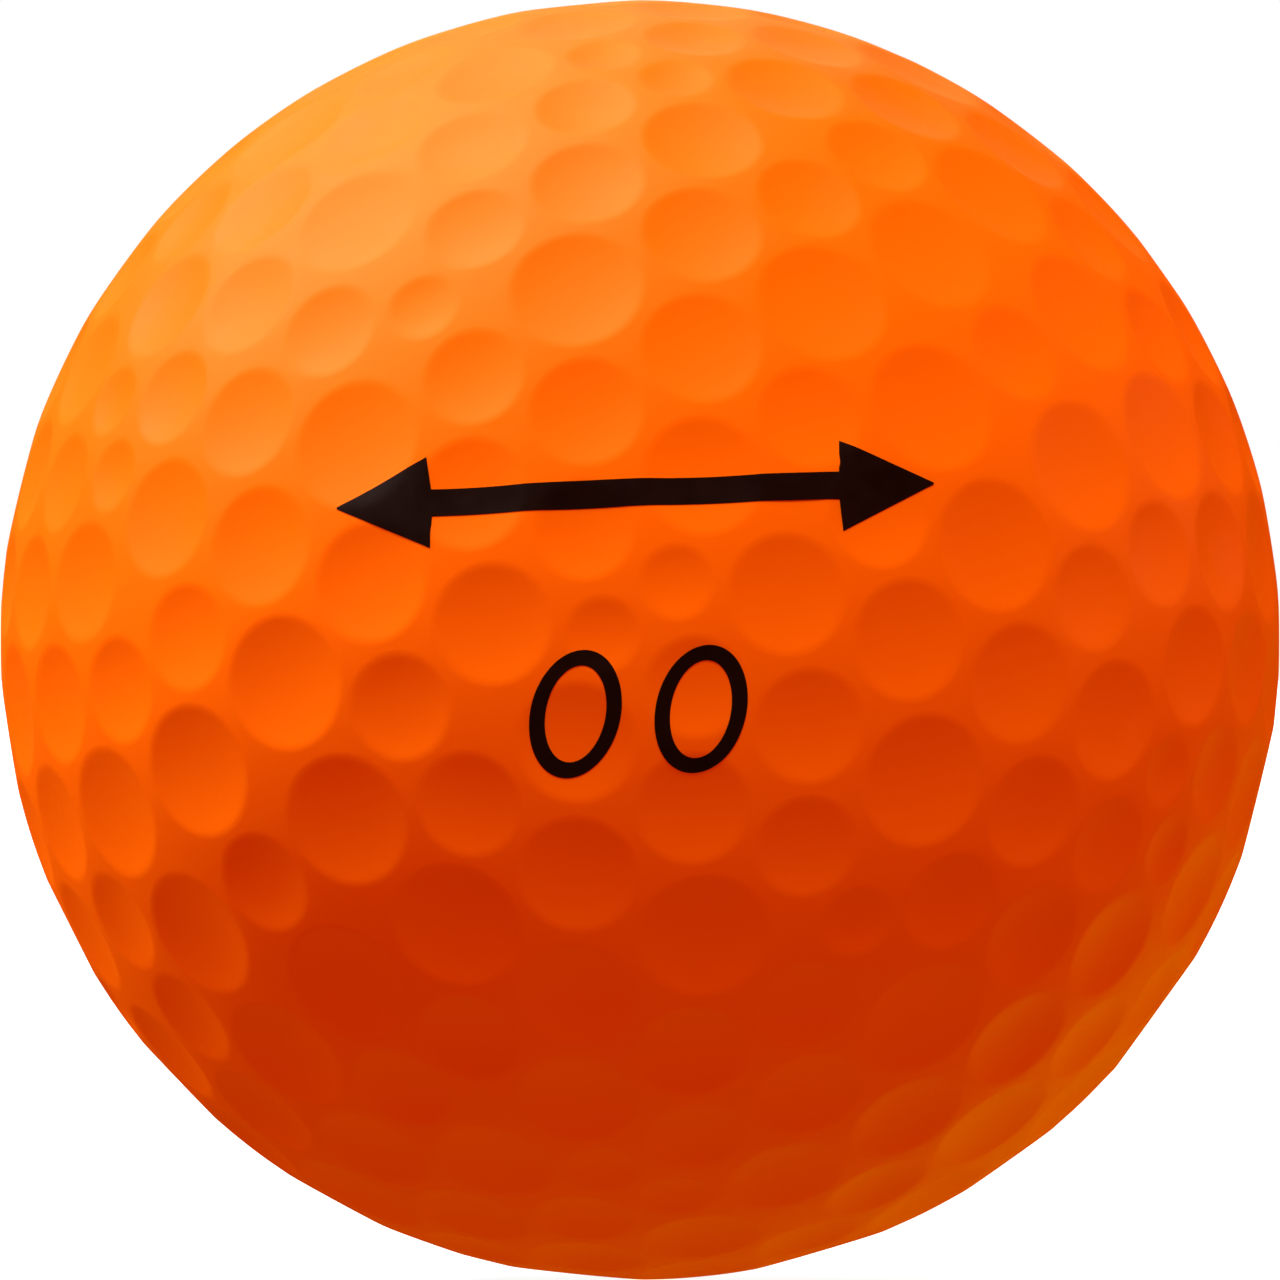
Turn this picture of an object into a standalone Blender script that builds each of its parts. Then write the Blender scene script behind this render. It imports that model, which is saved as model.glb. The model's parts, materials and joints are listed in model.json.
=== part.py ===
"""A two-piece golf ball with 350 dimples, as the pieces that it is moulded and printed from.

Frame: metres, +Z up, origin at the ball's centre. The printed front faces -Y, and the plane X = 0
parts the two moulded halves of the cover.
"""
import math
from collections import namedtuple
from itertools import permutations, product

import bmesh
import bpy
from mathutils import Matrix, Vector

# ---- driving dimensions, in metres and degrees ----
BALL_DIAMETER = 0.0427       # the rules of golf ask for at least 42.67 mm
CORE_DIAMETER = 0.0390
CLEARANCE = 0.0003           # kept between core and cover, and across the parting plane
BALL_PITCH = 2.8             # the ball lies tipped back, so that the front print looks slightly up

# Dimples: diameters across the rim, and the angle between bowl and ball surface at the rim.
LARGE = 0.00470
MEDIUM = 0.00425
FIRM = 0.00405
NARROW = 0.00380
SMALL = 0.00370
SLIM = 0.00360
TINY = 0.00272
EDGE_ANGLE = 14.0
RIM_SIDES = 12

# Print: a thin film of ink that follows the dimples. Heights are measured from the printed pole.
INK_GAP = 0.00004
INK_THICKNESS = 0.00006
PRINT_LEAN = 2.4             # the line of print rises to the right
DIGIT_WIDTH = 0.0030
DIGIT_HEIGHT = 0.00415
DIGIT_STROKE = 0.0005
DIGIT_SLANT = 9.0
LEFT_DIGIT = -0.00225        # the pair stands a little left of the arrow's middle
RIGHT_DIGIT = 0.00185
DIGIT_DROP = 0.00336
DIGIT_SIDES = 24
ARROW_LENGTH = 0.0195
ARROW_RISE = 0.0038
SHAFT_WIDTH = 0.0009
HEAD_LENGTH = 0.0030
HEAD_WIDTH = 0.0030

# ---- sizes worked out from those ----
BALL_RADIUS = BALL_DIAMETER / 2
CAVITY_RADIUS = CORE_DIAMETER / 2 + CLEARANCE
SPHERE_SUBDIVISIONS = 4      # icosphere steps of the core and of the cavity around it
PITCH = Matrix.Rotation(math.radians(-BALL_PITCH), 4, "X")

# ---- the dimple layout ----
# One dimple of each kind, placed by its angle from a fourfold axis and its turn around that axis.
# The 48 rotations and reflections of an octahedron repeat it over the whole ball.
DimpleKind = namedtuple("DimpleKind", "name polar turn diameter")


def mirror_kind(name, rise, diameter):
    """A kind that lies on the mirror plane x = z, at an angle above the twofold axis there."""
    x = math.cos(math.radians(rise)) / math.sqrt(2)
    y = math.sin(math.radians(rise))
    return DimpleKind(name, math.degrees(math.acos(x)), math.degrees(math.atan2(y, x)), diameter)


THREEFOLD_POLAR = math.degrees(math.acos(1 / math.sqrt(3)))
DIMPLE_KINDS = (
    DimpleKind("pole", 0.0, 0.0, SMALL),
    DimpleKind("pole_ring_edge", 11.6, 0.0, LARGE),
    DimpleKind("pole_ring_corner", 18.9, 45.0, LARGE),
    DimpleKind("inner_pair", 22.85, 13.65, NARROW),
    DimpleKind("middle_pair", 30.3, 33.0, MEDIUM),
    DimpleKind("outer_pair", 34.1, 11.45, MEDIUM),
    DimpleKind("far_pair", 41.55, 26.45, FIRM),
    DimpleKind("corner", 40.9, 45.0, LARGE),
    DimpleKind("twofold", 41.05, 0.0, TINY),
    mirror_kind("mirror_low", 8.5, SLIM),
    mirror_kind("mirror_high", 26.2, SMALL),
    DimpleKind("threefold", THREEFOLD_POLAR, 45.0, TINY),
)


def octahedral_group():
    """The 48 matrices that permute the axes and change their signs."""
    for order in permutations(range(3)):
        for signs in product((1, -1), repeat=3):
            rows = []
            for axis, sign in zip(order, signs):
                row = [0, 0, 0]
                row[axis] = sign
                rows.append(row)
            yield Matrix(rows)


def layout_axes():
    """The layout's fourfold axes: a threefold axis lies along +X and a twofold axis along -Y."""
    twofold = Vector((0, -1, 0))
    across = Vector((math.sqrt(2 / 3), 0, math.sqrt(1 / 3)))
    third = Vector((math.sqrt(1 / 3), 0, -math.sqrt(2 / 3)))
    first = (twofold + across).normalized()
    second = (twofold - across).normalized()
    return Matrix((first, second, third)).transposed()


def dimples():
    """Every dimple once, as its kind and the direction of its middle."""
    axes = layout_axes()
    for kind in DIMPLE_KINDS:
        polar = math.radians(kind.polar)
        turn = math.radians(kind.turn)
        seed = Vector((math.sin(polar) * math.cos(turn), math.sin(polar) * math.sin(turn), math.cos(polar)))
        placed = set()
        for symmetry in octahedral_group():
            middle = symmetry @ seed
            place = tuple(round(value, 5) + 0.0 for value in middle)
            if place not in placed:
                placed.add(place)
                yield kind, axes @ middle


def rim_angle(kind):
    """Half the angle that the dimple's rim spans at the ball's centre."""
    return math.asin(kind.diameter / 2 / BALL_RADIUS)


def bowl_depth(kind):
    """The bowl's depth below the plane of its rim."""
    slope = math.radians(EDGE_ANGLE) - rim_angle(kind)
    return kind.diameter / 2 * math.tan(slope / 2)


def rim_points(kind, middle):
    """The rim's corners, on the ball's sphere."""
    side = Vector((0, 0, 1)).cross(middle).normalized()
    ahead = middle.cross(side)
    spread = rim_angle(kind)
    for corner in range(RIM_SIDES):
        turn = 2 * math.pi * corner / RIM_SIDES
        outward = math.cos(turn) * side + math.sin(turn) * ahead
        yield BALL_RADIUS * (math.cos(spread) * middle + math.sin(spread) * outward)


# ---- making objects ----
def new_collection(name):
    collection = bpy.data.collections.new(name)
    bpy.context.scene.collection.children.link(collection)
    return collection


def new_object(name, data, collection):
    piece = bpy.data.objects.new(name, data)
    collection.objects.link(piece)
    return piece


def mesh_from(bm, name):
    bmesh.ops.recalc_face_normals(bm, faces=bm.faces)
    mesh = bpy.data.meshes.new(name)
    bm.to_mesh(mesh)
    bm.free()
    return mesh


def make_cutter(name, mesh, collection):
    cutter = new_object(name, mesh, collection)
    cutter.hide_render = True
    cutter.display_type = "WIRE"
    return cutter


def add_boolean(piece, operation, cutter):
    cut = piece.modifiers.new(operation.title(), "BOOLEAN")
    cut.operation = operation
    cut.solver = "EXACT"
    cut.object = cutter


def make_material(name, color, roughness, coat=0.0):
    material = bpy.data.materials.new(name)
    material.use_nodes = True
    shader = material.node_tree.nodes["Principled BSDF"]
    shader.inputs["Base Color"].default_value = (*color, 1.0)
    shader.inputs["Roughness"].default_value = roughness
    shader.inputs["Metallic"].default_value = 0.0
    shader.inputs["Coat Weight"].default_value = coat
    material.diffuse_color = (*color, 1.0)
    return material


# ---- the dimpled blank: the ball's outer surface as one solid ----
def dimpled_blank():
    """The hull of all rims, with each rim's flat face pushed in at its middle."""
    bm = bmesh.new()
    owner = {}
    for kind, middle in dimples():
        for point in rim_points(kind, middle):
            owner[bm.verts.new(point)] = (kind, tuple(middle))
    bmesh.ops.convex_hull(bm, input=bm.verts[:])
    inside_rims = []
    for face in bm.faces:
        if len({owner[corner] for corner in face.verts}) == 1:
            inside_rims.append(face)
    discs = bmesh.ops.dissolve_faces(bm, faces=inside_rims)["region"]
    for kind in DIMPLE_KINDS:
        matching = [disc for disc in discs if disc.is_valid and owner.get(disc.verts[0], [None])[0] == kind]
        bmesh.ops.poke(bm, faces=matching, offset=-bowl_depth(kind))
    return mesh_from(bm, "dimpled_blank")


def sphere_mesh(name, radius):
    bm = bmesh.new()
    bmesh.ops.create_icosphere(bm, subdivisions=SPHERE_SUBDIVISIONS, radius=radius)
    return mesh_from(bm, name)


def half_space_mesh(name, side):
    """A block over the ball's half on one side of the parting plane, short of it by half the clearance."""
    reach = BALL_DIAMETER
    bm = bmesh.new()
    bmesh.ops.create_cube(bm, size=2 * reach)
    bmesh.ops.translate(bm, verts=bm.verts, vec=(side * (reach + CLEARANCE / 2), 0, 0))
    return mesh_from(bm, name)


# ---- the print's outlines, in the print's own plane: x to the right, y up ----
def ellipse(width, height):
    """A leaning oval."""
    slant = math.tan(math.radians(DIGIT_SLANT))
    points = []
    for corner in range(DIGIT_SIDES):
        turn = 2 * math.pi * corner / DIGIT_SIDES
        y = height / 2 * math.sin(turn)
        points.append((width / 2 * math.cos(turn) + slant * y, y))
    return points


def zero_outlines():
    inner_width = DIGIT_WIDTH - 2 * DIGIT_STROKE
    inner_height = DIGIT_HEIGHT - 2 * DIGIT_STROKE
    return [ellipse(DIGIT_WIDTH, DIGIT_HEIGHT), ellipse(inner_width, inner_height)]


def arrow_outlines():
    """A double arrow: a shaft with a pointed head at each end."""
    right_half = [
        (ARROW_LENGTH / 2 - HEAD_LENGTH, -SHAFT_WIDTH / 2),
        (ARROW_LENGTH / 2 - HEAD_LENGTH, -HEAD_WIDTH / 2),
        (ARROW_LENGTH / 2, 0),
        (ARROW_LENGTH / 2 - HEAD_LENGTH, HEAD_WIDTH / 2),
        (ARROW_LENGTH / 2 - HEAD_LENGTH, SHAFT_WIDTH / 2),
    ]
    left_half = [(-x, -y) for x, y in right_half]
    return [right_half + left_half]


def stamp_mesh(name, outlines, x, y, half_turns):
    """A block with the outline's shape, which reaches through the ball's printed side.

    half_turns is 0 for the front print and 1 for the back one.
    """
    curve = bpy.data.curves.new(name, "CURVE")
    curve.dimensions = "2D"
    curve.fill_mode = "BOTH"
    curve.extrude = BALL_RADIUS / 2
    for outline in outlines:
        spline = curve.splines.new("POLY")
        spline.points.add(len(outline) - 1)
        for point, (across, up) in zip(spline.points, outline):
            point.co = (across, up, 0, 1)
        spline.use_cyclic_u = True
    drawn = bpy.data.objects.new(name, curve)
    bpy.context.scene.collection.objects.link(drawn)
    bpy.context.view_layer.update()
    evaluated = drawn.evaluated_get(bpy.context.evaluated_depsgraph_get())
    mesh = bpy.data.meshes.new_from_object(evaluated)
    bpy.data.objects.remove(drawn)
    bpy.data.curves.remove(curve)
    place = Matrix.Translation((x, y, BALL_RADIUS))
    lean = Matrix.Rotation(math.radians(PRINT_LEAN), 4, "Z")
    stand_up = Matrix.Rotation(math.radians(90), 4, "X")
    face = Matrix.Rotation(math.radians(180 * half_turns), 4, "Z")
    mesh.transform(PITCH @ face @ stand_up @ lean @ place)
    bm = bmesh.new()
    bm.from_mesh(mesh)
    bmesh.ops.remove_doubles(bm, verts=bm.verts, dist=1e-6)
    bpy.data.meshes.remove(mesh)
    return mesh_from(bm, name)


# ---- the pieces ----
def make_cover(pieces, cutters, blank, material):
    cavity = make_cutter("cavity", sphere_mesh("cavity", CAVITY_RADIUS), cutters)
    for name, side in (("cover_left", -1), ("cover_right", 1)):
        half = new_object(name, blank.copy(), pieces)
        half.data.materials.append(material)
        add_boolean(half, "DIFFERENCE", cavity)
        half_space = make_cutter(name + "_side", half_space_mesh(name + "_side", side), cutters)
        add_boolean(half, "INTERSECT", half_space)


def make_core(pieces, material):
    core = new_object("core", sphere_mesh("core", CORE_DIAMETER / 2), pieces)
    core.data.shade_smooth()
    core.data.materials.append(material)


def grown_blank(name, blank, growth, cutters):
    """The blank, larger all round by one distance at the ball's surface."""
    mesh = blank.copy()
    mesh.transform(Matrix.Scale((BALL_RADIUS + growth) / BALL_RADIUS, 4))
    return make_cutter(name, mesh, cutters)


def make_print(pieces, cutters, blank, material):
    """The ink: where a stamp meets the layer between two slightly grown copies of the blank."""
    ink_top = grown_blank("ink_top", blank, INK_GAP + INK_THICKNESS, cutters)
    ink_base = grown_blank("ink_base", blank, INK_GAP, cutters)
    for side, half_turns in (("front", 0), ("back", 1)):
        stamps = (
            ("print_arrow_" + side, arrow_outlines(), 0, ARROW_RISE),
            ("print_digit_left_" + side, zero_outlines(), LEFT_DIGIT, -DIGIT_DROP),
            ("print_digit_right_" + side, zero_outlines(), RIGHT_DIGIT, -DIGIT_DROP),
        )
        for name, outlines, x, y in stamps:
            film = new_object(name, stamp_mesh(name, outlines, x, y, half_turns), pieces)
            film.data.materials.clear()
            film.data.materials.append(material)
            add_boolean(film, "INTERSECT", ink_top)
            add_boolean(film, "DIFFERENCE", ink_base)


def main():
    for leftover in list(bpy.data.objects):
        bpy.data.objects.remove(leftover)
    pieces = new_collection("golf_ball")
    cutters = new_collection("cutters")
    ionomer = make_material("orange_ionomer", (0.90, 0.12, 0.005), 0.45, coat=0.3)
    rubber = make_material("core_rubber", (0.10, 0.16, 0.20), 0.8)
    ink = make_material("black_ink", (0.012, 0.010, 0.010), 0.5)
    blank = dimpled_blank()
    blank.transform(PITCH)
    make_core(pieces, rubber)
    make_cover(pieces, cutters, blank, ionomer)
    make_print(pieces, cutters, blank, ink)


main()
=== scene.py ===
"""The looks of the orange golf ball: fine dimples, printed ink, materials, light and camera."""
import json
import math
from collections import namedtuple
from itertools import permutations, product

import bmesh
import bpy
import numpy as np
from mathutils import Matrix, Vector
from mathutils.geometry import delaunay_2d_cdt


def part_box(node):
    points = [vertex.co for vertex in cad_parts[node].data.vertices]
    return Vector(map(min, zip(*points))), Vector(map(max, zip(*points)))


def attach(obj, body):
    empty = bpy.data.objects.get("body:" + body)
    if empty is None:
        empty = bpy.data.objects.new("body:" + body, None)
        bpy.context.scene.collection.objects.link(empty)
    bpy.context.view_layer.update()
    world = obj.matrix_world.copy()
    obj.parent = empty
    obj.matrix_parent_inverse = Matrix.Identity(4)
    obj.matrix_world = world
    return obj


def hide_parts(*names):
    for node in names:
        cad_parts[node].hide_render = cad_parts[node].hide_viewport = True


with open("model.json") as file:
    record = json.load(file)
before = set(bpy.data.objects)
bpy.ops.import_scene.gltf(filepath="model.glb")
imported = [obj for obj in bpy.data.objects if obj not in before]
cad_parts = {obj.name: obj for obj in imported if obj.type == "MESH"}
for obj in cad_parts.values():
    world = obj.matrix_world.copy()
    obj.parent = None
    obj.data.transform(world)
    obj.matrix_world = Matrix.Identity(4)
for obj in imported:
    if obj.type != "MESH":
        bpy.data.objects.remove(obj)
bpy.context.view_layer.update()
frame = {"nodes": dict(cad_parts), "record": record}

# ---- the ball, in metres and degrees: its radii come from the frame ----
MOUNTS = {mount["name"]: mount for mount in frame["record"]["mounts"]}
BALL_RADIUS = -MOUNTS["tee_seat"]["pos_m"][2]
CORE_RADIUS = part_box("core")[1].x
CORE_GAP = 0.0003            # between the core and the cover's inner wall
BALL_PITCH = 2.8             # the ball lies tipped back by this many degrees

# ---- dimples: rim diameters in metres, angles in degrees ----
LARGE = 0.00470
MEDIUM = 0.00425
FIRM = 0.00405
NARROW = 0.00380
SMALL = 0.00370
SLIM = 0.00360
TINY = 0.00272
EDGE_ANGLE = 14.0            # between the bowl and the ball's surface, where they would cross
EDGE_ROUNDING = 0.00034      # width of the rounded edge, inside the rim
RIM_POINTS = 48
EDGE_RINGS = 5
BOWL_RINGS = (0.88, 0.68, 0.46, 0.24)    # as parts of the bowl's own radius
WALL_SUBDIVISIONS = 6        # of the icosphere that makes the cover's inner wall
DIRECTIONS_AT_ONCE = 4000    # limits the memory that the search for the nearest dimple takes
SLOPE_STEP = 1e-5            # in radians, for measuring a bowl's slope
NEAR_ZERO = 1e-9             # keeps a dimple's very middle from a division by zero
MERGE_LIMIT = 1e-9           # rim points closer than this would be one point, on the map of the rims
CUT_LIMIT = 1e-8             # points closer than this to the parting plane lie on it

# ---- print, as on the solids: heights are measured from the printed pole ----
INK_BASE = 0.000006
INK_TOP = 0.000022
PRINT_LEAN = 2.4
DIGIT_WIDTH = 0.0030
DIGIT_HEIGHT = 0.00415
DIGIT_STROKE = 0.0005
DIGIT_SLANT = 9.0
LEFT_DIGIT = -0.00225        # the pair stands a little left of the arrow's middle
RIGHT_DIGIT = 0.00185
DIGIT_DROP = 0.00336
DIGIT_STEPS = 120
ARROW_LENGTH = 0.0195
ARROW_RISE = 0.0038
SHAFT_WIDTH = 0.0009
HEAD_LENGTH = 0.0030
HEAD_WIDTH = 0.0030
HEAD_STEPS = 36
SHAFT_STEPS = 120
TIP_WIDTH = 0.00006
BARB_SWEEP = 0.00008
STROKE_POINTS = 9
FILM_CREASE = 40.0           # edges sharper than this many degrees stay sharp

# ---- camera and studio ----
CAMERA_DISTANCE = 39.0 * BALL_RADIUS
SENSOR = 36.0
FRAME_MARGIN = 1.0005        # the ball's outline just fills the square picture
VIEW_DEPTH = 50.0
FLOOR_RADIUS = 12.0
FLOOR_SIDES = 96
FLOOR_GLOW = (0.67, 0.92, 0.94, 1.0)    # a bluish glow, so that the floor looks white under the warm fill
FILL_FROM = Vector((0.0, 0.0, 1.0))     # the fill is brightest from here and dimmest from the other side
FILL_DIM = (0.38, 0.06, 0.0)
FILL_BRIGHT = (0.78, 0.06, 0.0)
LAMP_SPREAD = 24.0
SHEEN_SPREAD = 60.0
WHITE = (1.0, 1.0, 1.0)
LEAF_GREEN = (0.4, 1.0, 0.0)
TINT_START = 0.3             # the noise values between which a material changes from one tint to the other
TINT_END = 0.7

PITCH = Matrix.Rotation(math.radians(-BALL_PITCH), 3, "X")
PITCH_ARRAY = np.array(PITCH)

DimpleKind = namedtuple("DimpleKind", "name polar turn diameter")


def mirror_kind(name, rise, diameter):
    """A kind that lies on the mirror plane x = z, at an angle above the twofold axis there."""
    x = math.cos(math.radians(rise)) / math.sqrt(2)
    y = math.sin(math.radians(rise))
    return DimpleKind(name, math.degrees(math.acos(x)), math.degrees(math.atan2(y, x)), diameter)


THREEFOLD_POLAR = math.degrees(math.acos(1 / math.sqrt(3)))
DIMPLE_KINDS = (
    DimpleKind("pole", 0.0, 0.0, SMALL),
    DimpleKind("pole_ring_edge", 11.6, 0.0, LARGE),
    DimpleKind("pole_ring_corner", 18.9, 45.0, LARGE),
    DimpleKind("inner_pair", 22.85, 13.65, NARROW),
    DimpleKind("middle_pair", 30.3, 33.0, MEDIUM),
    DimpleKind("outer_pair", 34.1, 11.45, MEDIUM),
    DimpleKind("far_pair", 41.55, 26.45, FIRM),
    DimpleKind("corner", 40.9, 45.0, LARGE),
    DimpleKind("twofold", 41.05, 0.0, TINY),
    mirror_kind("mirror_low", 8.5, SLIM),
    mirror_kind("mirror_high", 26.2, SMALL),
    DimpleKind("threefold", THREEFOLD_POLAR, 45.0, TINY),
)


def octahedral_group():
    """The 48 matrices that permute the axes and change their signs."""
    for order in permutations(range(3)):
        for signs in product((1, -1), repeat=3):
            rows = []
            for axis, sign in zip(order, signs):
                row = [0, 0, 0]
                row[axis] = sign
                rows.append(row)
            yield Matrix(rows)


def layout_axes():
    """The layout's fourfold axes: a threefold axis lies along +X and a twofold axis along -Y."""
    twofold = Vector((0, -1, 0))
    across = Vector((math.sqrt(2 / 3), 0, math.sqrt(1 / 3)))
    third = Vector((math.sqrt(1 / 3), 0, -math.sqrt(2 / 3)))
    first = (twofold + across).normalized()
    second = (twofold - across).normalized()
    return Matrix((first, second, third)).transposed()


def all_dimples():
    """Every dimple once, as its kind and the direction of its middle."""
    axes = layout_axes()
    found = []
    for kind in DIMPLE_KINDS:
        polar = math.radians(kind.polar)
        turn = math.radians(kind.turn)
        seed = Vector((math.sin(polar) * math.cos(turn), math.sin(polar) * math.sin(turn), math.cos(polar)))
        placed = set()
        for symmetry in octahedral_group():
            middle = symmetry @ seed
            place = tuple(round(value, 5) + 0.0 for value in middle)
            if place not in placed:
                placed.add(place)
                found.append((kind, PITCH @ axes @ middle))
    return found


class Bowl:
    """One kind of dimple: a round bowl whose edge is rounded over into the ball's surface."""

    def __init__(self, kind):
        self.rim = math.asin(kind.diameter / 2 / BALL_RADIUS)
        self.inner = self.rim - EDGE_ROUNDING / BALL_RADIUS
        crossing = (self.rim + self.inner) / 2
        slope = math.radians(EDGE_ANGLE) - crossing
        self.radius = BALL_RADIUS * math.sin(crossing) / math.sin(slope)
        self.middle = BALL_RADIUS * math.cos(crossing) + self.radius * math.cos(slope)
        self.blend = float(self.rise(np.array([self.rim]))[0])

    def rise(self, angle):
        """The bowl's height over the ball's sphere, by the angle from the dimple's middle."""
        reach = np.sqrt(self.radius**2 - (self.middle * np.sin(angle)) ** 2)
        return self.middle * np.cos(angle) - reach - BALL_RADIUS

    def height(self, angle):
        """The finished surface's height over the ball's sphere: the bowl, rounded over at its edge."""
        rise = self.rise(angle)
        rounded = -((self.blend - rise) ** 2) / (4 * self.blend)
        return np.where(rise < -self.blend, rise, np.where(rise < self.blend, rounded, 0.0))

    def slope(self, angle):
        """How fast the height changes along the surface."""
        change = self.height(angle + SLOPE_STEP) - self.height(angle - SLOPE_STEP)
        return change / (2 * SLOPE_STEP * BALL_RADIUS)

    def rings(self):
        """Angles of the mesh's rings, from the rim inwards."""
        edge = np.linspace(self.rim, self.inner, EDGE_RINGS + 1)
        return np.concatenate([edge, self.inner * np.array(BOWL_RINGS)])


BOWLS = {kind.name: Bowl(kind) for kind in DIMPLE_KINDS}
DIMPLES = all_dimples()
MIDDLES = np.array([tuple(middle) for kind, middle in DIMPLES])
KIND_INDEX = np.array([DIMPLE_KINDS.index(kind) for kind, middle in DIMPLES])
RIM_ANGLES = np.array([BOWLS[kind.name].rim for kind, middle in DIMPLES])
MAP_DIMPLE = [kind.diameter for kind, middle in DIMPLES].index(LARGE)


def surface(directions):
    """Points and normals of the dimpled surface along unit directions from the ball's centre."""
    heights = np.zeros(len(directions))
    slopes = np.zeros(len(directions))
    nearest = np.zeros(len(directions), dtype=int)
    angles = np.zeros(len(directions))
    for start in range(0, len(directions), DIRECTIONS_AT_ONCE):
        part = slice(start, start + DIRECTIONS_AT_ONCE)
        closeness = directions[part] @ MIDDLES.T
        clearance = np.arccos(np.clip(closeness, -1, 1)) - RIM_ANGLES
        nearest[part] = np.argmin(clearance, axis=1)
        chosen = MIDDLES[nearest[part]]
        gap = np.linalg.norm(directions[part] - chosen, axis=1)
        angles[part] = 2 * np.arcsin(np.clip(gap / 2, 0, 1))
    for index, kind in enumerate(DIMPLE_KINDS):
        bowl = BOWLS[kind.name]
        here = (KIND_INDEX[nearest] == index) & (angles < bowl.rim)
        heights[here] = bowl.height(angles[here])
        slopes[here] = bowl.slope(angles[here])
    middles = MIDDLES[nearest]
    outward = directions * np.sum(directions * middles, axis=1)[:, None] - middles
    length = np.linalg.norm(outward, axis=1)
    outward = outward / np.maximum(length, NEAR_ZERO)[:, None]
    normals = directions - outward * slopes[:, None]
    normals /= np.linalg.norm(normals, axis=1)[:, None]
    return directions * (BALL_RADIUS + heights)[:, None], normals


# ---- the cover's fine mesh ----
def rim_frame(middle):
    """Two unit directions along the surface at a dimple's middle, at right angles to each other."""
    side = np.cross((0.0, 0.0, 1.0), middle)
    side /= np.linalg.norm(side)
    return side, np.cross(middle, side)


def land_faces(rims):
    """The surface between the dimples, as triangles between the rims.

    Seen from inside one large dimple, the stereographic map puts all rims in a plane, where they stay
    circles. Their Delaunay triangles are the faces wanted, apart from those that close a rim.
    """
    pole = MIDDLES[MAP_DIMPLE]
    side, ahead = rim_frame(pole)
    units = rims / BALL_RADIUS
    plane = np.stack([units @ side, units @ ahead], axis=1) / (1 - units @ pole)[:, None]
    places = [Vector(place) for place in plane]
    triangles = np.array(delaunay_2d_cdt(places, [], [], 0, MERGE_LIMIT)[2])
    owners = triangles // RIM_POINTS
    between = (owners[:, 0] != owners[:, 1]) | (owners[:, 1] != owners[:, 2])
    triangles = triangles[between]
    corners = rims[triangles]
    outward = np.cross(corners[:, 1] - corners[:, 0], corners[:, 2] - corners[:, 0])
    inverted = np.sum(outward * corners[:, 0], axis=1) < 0
    triangles[inverted] = triangles[inverted][:, ::-1]
    return triangles.tolist()


def dimpled_skin():
    """The whole outer surface as one bmesh."""
    turns = 2 * np.pi * np.arange(RIM_POINTS) / RIM_POINTS
    rows = []
    rims = []
    for kind, middle in DIMPLES:
        middle = np.array(middle)
        side, ahead = rim_frame(middle)
        around = np.cos(turns)[:, None] * side + np.sin(turns)[:, None] * ahead
        bowl = BOWLS[kind.name]
        angles = bowl.rings()
        radii = BALL_RADIUS + bowl.height(angles)
        radii[0] = BALL_RADIUS
        rings = []
        for angle, radius in zip(angles, radii):
            rings.append(radius * (math.cos(angle) * middle + math.sin(angle) * around))
        bottom = (BALL_RADIUS + float(bowl.height(np.array([0.0]))[0])) * middle
        rims.append(rings[0])
        rows.append((rings[1:], bottom))
    bm = bmesh.new()
    rim_points = np.concatenate(rims)
    rim_verts = [bm.verts.new(point) for point in rim_points]
    for corners in land_faces(rim_points):
        bm.faces.new([rim_verts[corner] for corner in corners])
    for number, (rings, bottom) in enumerate(rows):
        outer = rim_verts[number * RIM_POINTS:(number + 1) * RIM_POINTS]
        for ring in rings:
            inner = [bm.verts.new(point) for point in ring]
            for step in range(RIM_POINTS):
                after = (step + 1) % RIM_POINTS
                bm.faces.new((outer[step], outer[after], inner[after], inner[step]))
            outer = inner
        centre = bm.verts.new(bottom)
        for step in range(RIM_POINTS):
            bm.faces.new((outer[step], outer[(step + 1) % RIM_POINTS], centre))
    return bm


def cover_half(name, skin_mesh, side, inner_radius):
    """A closed half shell: the skin, the flat ring at the parting plane and the inner wall."""
    bm = bmesh.new()
    bm.from_mesh(skin_mesh)
    wall = bmesh.ops.create_icosphere(bm, subdivisions=WALL_SUBDIVISIONS, radius=inner_radius)["verts"]
    wall_faces = list({face for vert in wall for face in vert.link_faces})
    bmesh.ops.reverse_faces(bm, faces=wall_faces)
    geometry = bm.verts[:] + bm.edges[:] + bm.faces[:]
    bmesh.ops.bisect_plane(
        bm, geom=geometry, dist=CUT_LIMIT, plane_co=(0, 0, 0), plane_no=(side, 0, 0), clear_inner=True
    )
    open_edges = [edge for edge in bm.edges if edge.is_boundary]
    filled = bmesh.ops.triangle_fill(bm, edges=open_edges, use_beauty=True, normal=(-side, 0, 0))
    for face in filled["geom"]:
        if isinstance(face, bmesh.types.BMFace) and face.normal.x * side > 0:
            face.normal_flip()
    mesh = bpy.data.meshes.new(name)
    bm.to_mesh(mesh)
    bm.free()
    return mesh


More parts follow.
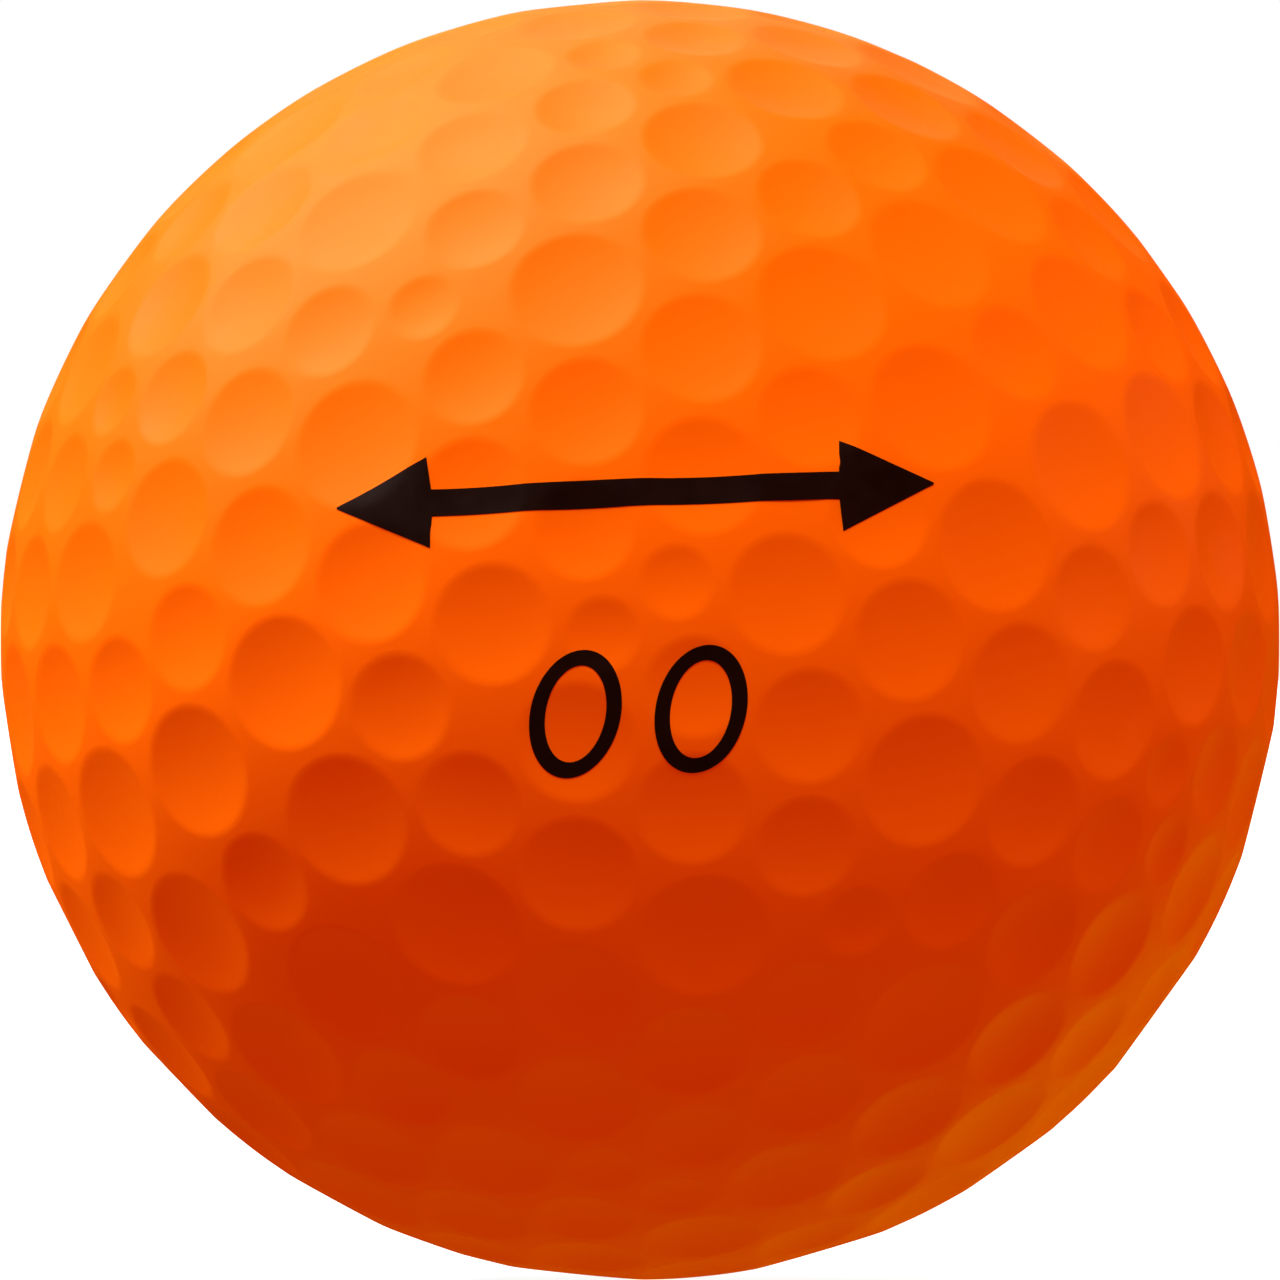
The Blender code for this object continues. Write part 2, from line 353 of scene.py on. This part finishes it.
def set_skin_normals(mesh, inner_radius):
    """Gives the dimpled side and the inner wall exact normals, so that the light runs smoothly over them."""
    mesh.shade_smooth()
    count = len(mesh.vertices)
    places = np.empty(count * 3)
    mesh.vertices.foreach_get("co", places)
    places = places.reshape(-1, 3)
    distance = np.linalg.norm(places, axis=1)
    directions = places / distance[:, None]
    points, normals = surface(directions)
    loops = np.empty(len(mesh.loops), dtype=int)
    mesh.loops.foreach_get("vertex_index", loops)
    corner_normals = normals[loops].copy()
    on_wall = distance[loops] < (inner_radius + BALL_RADIUS) / 2
    corner_normals[on_wall] = -directions[loops][on_wall]
    for face in mesh.polygons:
        on_parting_plane = abs(face.normal.x) > 0.999 and abs(face.center.x) < 1e-7
        if on_parting_plane:
            for loop in face.loop_indices:
                corner_normals[loop] = tuple(face.normal)
    mesh.normals_split_custom_set(corner_normals.tolist())


def add_piece(name, mesh, material, slot, *nodes):
    piece = bpy.data.objects.new(name, mesh)
    bpy.context.scene.collection.objects.link(piece)
    mesh.materials.append(material)
    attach(piece, "root")
    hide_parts(*nodes)
    return piece


# ---- the print ----
def print_direction(x, y, half_turns):
    """Directions from the ball's centre to points of the print, whose plane has x right and y up."""
    lean = math.radians(PRINT_LEAN)
    right = x * math.cos(lean) - y * math.sin(lean)
    up = x * math.sin(lean) + y * math.cos(lean)
    toward = -np.sqrt(BALL_RADIUS**2 - right**2 - up**2)
    facing = -1 if half_turns else 1
    points = np.stack([right * facing, toward * facing, up], axis=-1) / BALL_RADIUS
    return points @ PITCH_ARRAY.T


def zero_ribbon(x, y):
    """A leaning zero as cross-sections of its stroke, from the outside to the inside."""
    slant = math.tan(math.radians(DIGIT_SLANT))
    sections = []
    for step in range(DIGIT_STEPS):
        turn = 2 * math.pi * step / DIGIT_STEPS
        row = []
        for share in np.linspace(0, 1, STROKE_POINTS):
            width = DIGIT_WIDTH / 2 - share * DIGIT_STROKE
            height = DIGIT_HEIGHT / 2 - share * DIGIT_STROKE
            up = height * math.sin(turn)
            row.append((x + width * math.cos(turn) + slant * up, y + up))
        sections.append(row)
    return np.array(sections), True


def arrow_ribbon(x, y):
    """A double arrow as cross-sections along its length."""
    half = ARROW_LENGTH / 2
    base = half - HEAD_LENGTH
    head = []
    for share in np.linspace(0, 1, HEAD_STEPS):
        head.append((half - share * HEAD_LENGTH, TIP_WIDTH + share * (HEAD_WIDTH - TIP_WIDTH)))
    shaft = []
    for share in np.linspace(0, 1, SHAFT_STEPS):
        shaft.append(((base - BARB_SWEEP) * (1 - 2 * share), SHAFT_WIDTH))
    tail = [(-place, width) for place, width in reversed(head)]
    sections = []
    for place, width in head + shaft + tail:
        rise = np.linspace(width / 2, -width / 2, STROKE_POINTS)
        sections.append(np.stack([np.full(STROKE_POINTS, x + place), y + rise], axis=-1))
    return np.array(sections), False


def film_faces(rows, across, closed):
    """The faces of a film: its top, its base and the walls along its edges.

    The top's points come first, section by section, and the base's points follow in the same order.
    """
    count = rows * across
    faces = []
    last = rows if closed else rows - 1
    for row in range(last):
        here = row * across
        after = ((row + 1) % rows) * across
        for step in range(across - 1):
            corners = (here + step, here + step + 1, after + step + 1, after + step)
            faces.append(corners)
            faces.append(tuple(count + corner for corner in reversed(corners)))
        for edge, turned in ((0, False), (across - 1, True)):
            wall = (here + edge, after + edge, count + after + edge, count + here + edge)
            faces.append(wall[::-1] if turned else wall)
    if not closed:
        for row, turned in ((0, True), (rows - 1, False)):
            for step in range(across - 1):
                low = row * across + step
                wall = (low, low + 1, count + low + 1, count + low)
                faces.append(wall[::-1] if turned else wall)
    return faces


def film_mesh(name, sections, closed, half_turns):
    """A thin closed film of ink over the dimpled surface."""
    rows, across = sections.shape[:2]
    flat = sections.reshape(-1, 2)
    directions = print_direction(flat[:, 0], flat[:, 1], half_turns)
    points, normals = surface(directions)
    top = points + normals * INK_TOP
    base = points + normals * INK_BASE
    faces = film_faces(rows, across, closed)
    mesh = bpy.data.meshes.new(name)
    mesh.from_pydata(np.concatenate([top, base]).tolist(), [], faces)
    bm = bmesh.new()
    bm.from_mesh(mesh)
    bmesh.ops.recalc_face_normals(bm, faces=bm.faces)
    bm.to_mesh(mesh)
    bm.free()
    mesh.shade_smooth()
    mesh.set_sharp_from_angle(angle=math.radians(FILM_CREASE))
    return mesh


# ---- materials ----
def new_material(name):
    material = bpy.data.materials.new(name)
    material.use_nodes = True
    tree = material.node_tree
    return material, tree, tree.nodes["Principled BSDF"]


def noise(tree, scale, detail=4.0, roughness=0.5):
    """A noise that is fixed to the object. Its scale is in waves to the metre, roughly."""
    where = tree.nodes.new("ShaderNodeTexCoord")
    texture = tree.nodes.new("ShaderNodeTexNoise")
    texture.inputs["Scale"].default_value = scale
    texture.inputs["Detail"].default_value = detail
    texture.inputs["Roughness"].default_value = roughness
    tree.links.new(where.outputs["Object"], texture.inputs["Vector"])
    return texture.outputs["Fac"]


def ramp(tree, value, low, high):
    """Turns a noise into a colour, or a grey, that wanders between two."""
    node = tree.nodes.new("ShaderNodeValToRGB")
    node.color_ramp.elements[0].position = TINT_START
    node.color_ramp.elements[1].position = TINT_END
    node.color_ramp.elements[0].color = low
    node.color_ramp.elements[1].color = high
    tree.links.new(value, node.inputs["Fac"])
    return node.outputs["Color"]


def grey(value):
    return (value, value, value, 1.0)


def bump(tree, shader, height, strength, distance, before=None):
    """Adds a bump to the shader's normal, over an earlier bump if one is given."""
    node = tree.nodes.new("ShaderNodeBump")
    node.inputs["Strength"].default_value = strength
    node.inputs["Distance"].default_value = distance
    tree.links.new(height, node.inputs["Height"])
    if before is not None:
        tree.links.new(before, node.inputs["Normal"])
    tree.links.new(node.outputs["Normal"], shader.inputs["Normal"])
    return node.outputs["Normal"]


def ionomer_material():
    """Orange moulded ionomer with a satin gloss, a coarse ripple and a fine grain."""
    material, tree, shader = new_material("orange_ionomer")
    tint = ramp(tree, noise(tree, 160.0), (0.91, 0.191, 0.0, 1.0), (0.93, 0.201, 0.0, 1.0))
    tree.links.new(tint, shader.inputs["Base Color"])
    gloss = ramp(tree, noise(tree, 900.0, 6.0), grey(0.45), grey(0.53))
    tree.links.new(gloss, shader.inputs["Roughness"])
    shader.inputs["Specular IOR Level"].default_value = 0.40
    shader.inputs["Specular Tint"].default_value = (1.0, 0.35, 0.25, 1.0)
    ripple = bump(tree, shader, noise(tree, 1400.0, 3.0), 0.12, 0.00004)
    bump(tree, shader, noise(tree, 9000.0, 2.0), 0.2, 0.000008, ripple)
    return material


def ink_material():
    material, tree, shader = new_material("black_ink")
    tint = ramp(tree, noise(tree, 1200.0), (0.003, 0.002, 0.0015, 1.0), (0.006, 0.004, 0.003, 1.0))
    tree.links.new(tint, shader.inputs["Base Color"])
    gloss = ramp(tree, noise(tree, 2500.0, 5.0), grey(0.5), grey(0.6))
    tree.links.new(gloss, shader.inputs["Roughness"])
    shader.inputs["Specular IOR Level"].default_value = 0.12
    bump(tree, shader, noise(tree, 5000.0), 0.1, 0.00001)
    return material


def rubber_material():
    material, tree, shader = new_material("core_rubber")
    tint = ramp(tree, noise(tree, 260.0, 8.0), (0.07, 0.12, 0.16, 1.0), (0.13, 0.20, 0.25, 1.0))
    tree.links.new(tint, shader.inputs["Base Color"])
    gloss = ramp(tree, noise(tree, 700.0), grey(0.65), grey(0.85))
    tree.links.new(gloss, shader.inputs["Roughness"])
    bump(tree, shader, noise(tree, 2200.0, 8.0, 0.7), 0.4, 0.00005)
    return material


def floor_material():
    material, tree, shader = new_material("pale_floor")
    tint = ramp(tree, noise(tree, 3.0), grey(0.49), grey(0.51))
    tree.links.new(tint, shader.inputs["Base Color"])
    shader.inputs["Roughness"].default_value = 0.9
    shader.inputs["Specular IOR Level"].default_value = 0.0
    shader.inputs["Emission Color"].default_value = FLOOR_GLOW
    shader.inputs["Emission Strength"].default_value = 1.0
    return material


# ---- studio ----
def make_floor():
    """A pale floor that takes the ball's shadow and throws no light back on it."""
    bm = bmesh.new()
    bmesh.ops.create_circle(bm, cap_ends=True, segments=FLOOR_SIDES, radius=FLOOR_RADIUS)
    mesh = bpy.data.meshes.new("studio_floor")
    bm.to_mesh(mesh)
    bm.free()
    floor = bpy.data.objects.new("studio_floor", mesh)
    floor.location = (0, 0, -BALL_RADIUS)
    bpy.context.scene.collection.objects.link(floor)
    mesh.materials.append(floor_material())
    floor.visible_diffuse = False
    floor.visible_glossy = False
    floor.visible_shadow = False


def make_sun(name, brightness, azimuth, elevation, spread=LAMP_SPREAD, sheen=False, color=WHITE):
    """A soft light from a direction: azimuth 0 is in front of the ball, and it grows to the right.

    Brightness 1 makes a white surface that faces the light look white. A sheen light shows in the
    gloss alone, and every other light shows in the matt colour alone.
    """
    data = bpy.data.lights.new(name, "SUN")
    data.energy = math.pi * brightness
    data.color = color
    data.angle = math.radians(spread)
    sun = bpy.data.objects.new(name, data)
    around = math.radians(azimuth)
    up = math.radians(elevation)
    source = Vector((math.sin(around) * math.cos(up), -math.cos(around) * math.cos(up), math.sin(up)))
    sun.rotation_mode = "QUATERNION"
    sun.rotation_quaternion = source.to_track_quat("Z", "Y")
    sun.visible_glossy = sheen
    sun.visible_diffuse = not sheen
    bpy.context.scene.collection.objects.link(sun)


def color_sockets(sockets):
    return [socket for socket in sockets if socket.type == "RGBA"]


def make_world():
    """A warm fill, redder and brighter from above. The camera itself sees a plain white backdrop."""
    world = bpy.data.worlds.new("studio")
    world.use_nodes = True
    tree = world.node_tree
    fill = tree.nodes["Background"]
    where = tree.nodes.new("ShaderNodeTexCoord")
    share = tree.nodes.new("ShaderNodeVectorMath")
    share.operation = "DOT_PRODUCT"
    share.inputs[1].default_value = FILL_FROM
    spread = tree.nodes.new("ShaderNodeMapRange")
    spread.inputs["From Min"].default_value = -1.0
    spread.inputs["From Max"].default_value = 1.0
    mix = tree.nodes.new("ShaderNodeMix")
    mix.data_type = "RGBA"
    dim, bright = color_sockets(mix.inputs)
    dim.default_value = (*FILL_DIM, 1.0)
    bright.default_value = (*FILL_BRIGHT, 1.0)
    backdrop = tree.nodes.new("ShaderNodeBackground")
    backdrop.inputs["Color"].default_value = grey(1.0)
    ray = tree.nodes.new("ShaderNodeLightPath")
    choose = tree.nodes.new("ShaderNodeMixShader")
    tree.links.new(where.outputs["Generated"], share.inputs[0])
    tree.links.new(share.outputs["Value"], spread.inputs["Value"])
    tree.links.new(spread.outputs["Result"], mix.inputs["Factor"])
    tree.links.new(color_sockets(mix.outputs)[0], fill.inputs["Color"])
    tree.links.new(ray.outputs["Is Camera Ray"], choose.inputs["Fac"])
    tree.links.new(fill.outputs["Background"], choose.inputs[1])
    tree.links.new(backdrop.outputs["Background"], choose.inputs[2])
    tree.links.new(choose.outputs["Shader"], tree.nodes["World Output"].inputs["Surface"])
    bpy.context.scene.world = world


def make_camera():
    data = bpy.data.cameras.new("camera")
    data.sensor_width = SENSOR
    half_view = FRAME_MARGIN * math.tan(math.asin(BALL_RADIUS / CAMERA_DISTANCE))
    data.lens = SENSOR / 2 / half_view
    data.clip_end = VIEW_DEPTH
    camera = bpy.data.objects.new("camera", data)
    camera.location = (0, -CAMERA_DISTANCE, 0)
    camera.rotation_euler = (math.radians(90), 0, 0)
    bpy.context.scene.collection.objects.link(camera)
    bpy.context.scene.camera = camera


def make_cover():
    material = ionomer_material()
    skin = dimpled_skin()
    skin_mesh = bpy.data.meshes.new("skin")
    skin.to_mesh(skin_mesh)
    skin.free()
    inner_radius = CORE_RADIUS + CORE_GAP
    for name, side in (("cover_left", -1), ("cover_right", 1)):
        mesh = cover_half(name + "_fine", skin_mesh, side, inner_radius)
        set_skin_normals(mesh, inner_radius)
        add_piece(name + "_fine", mesh, material, "cover_ionomer", name)
    bpy.data.meshes.remove(skin_mesh)


def make_print():
    material = ink_material()
    for side, half_turns in (("front", 0), ("back", 1)):
        ribbons = (
            ("print_arrow_" + side, arrow_ribbon(0, ARROW_RISE)),
            ("print_digit_left_" + side, zero_ribbon(LEFT_DIGIT, -DIGIT_DROP)),
            ("print_digit_right_" + side, zero_ribbon(RIGHT_DIGIT, -DIGIT_DROP)),
        )
        for name, (sections, closed) in ribbons:
            mesh = film_mesh(name + "_film", sections, closed, half_turns)
            add_piece(name + "_film", mesh, material, "print_ink", name)


def finish_core():
    core = frame["nodes"]["core"]
    material = rubber_material()
    for slot in core.material_slots:
        slot.material = material


make_camera()
make_world()
make_floor()
make_sun("key", brightness=0.66, azimuth=-2, elevation=62)
make_sun("top", brightness=0.30, azimuth=-78, elevation=69)
make_sun("side", brightness=0.97, azimuth=-107, elevation=37)
make_sun("rim", brightness=0.15, azimuth=121, elevation=5)
make_sun("glow", brightness=0.30, azimuth=156, elevation=-22, color=LEAF_GREEN)
make_sun("back", brightness=0.35, azimuth=180, elevation=28)
make_sun("bounce", brightness=0.16, azimuth=130, elevation=-78)
make_sun("sheen", brightness=0.76, azimuth=-110, elevation=59, spread=SHEEN_SPREAD, sheen=True)
make_cover()
make_print()
finish_core()

bpy.context.scene.view_settings.view_transform = "Standard"
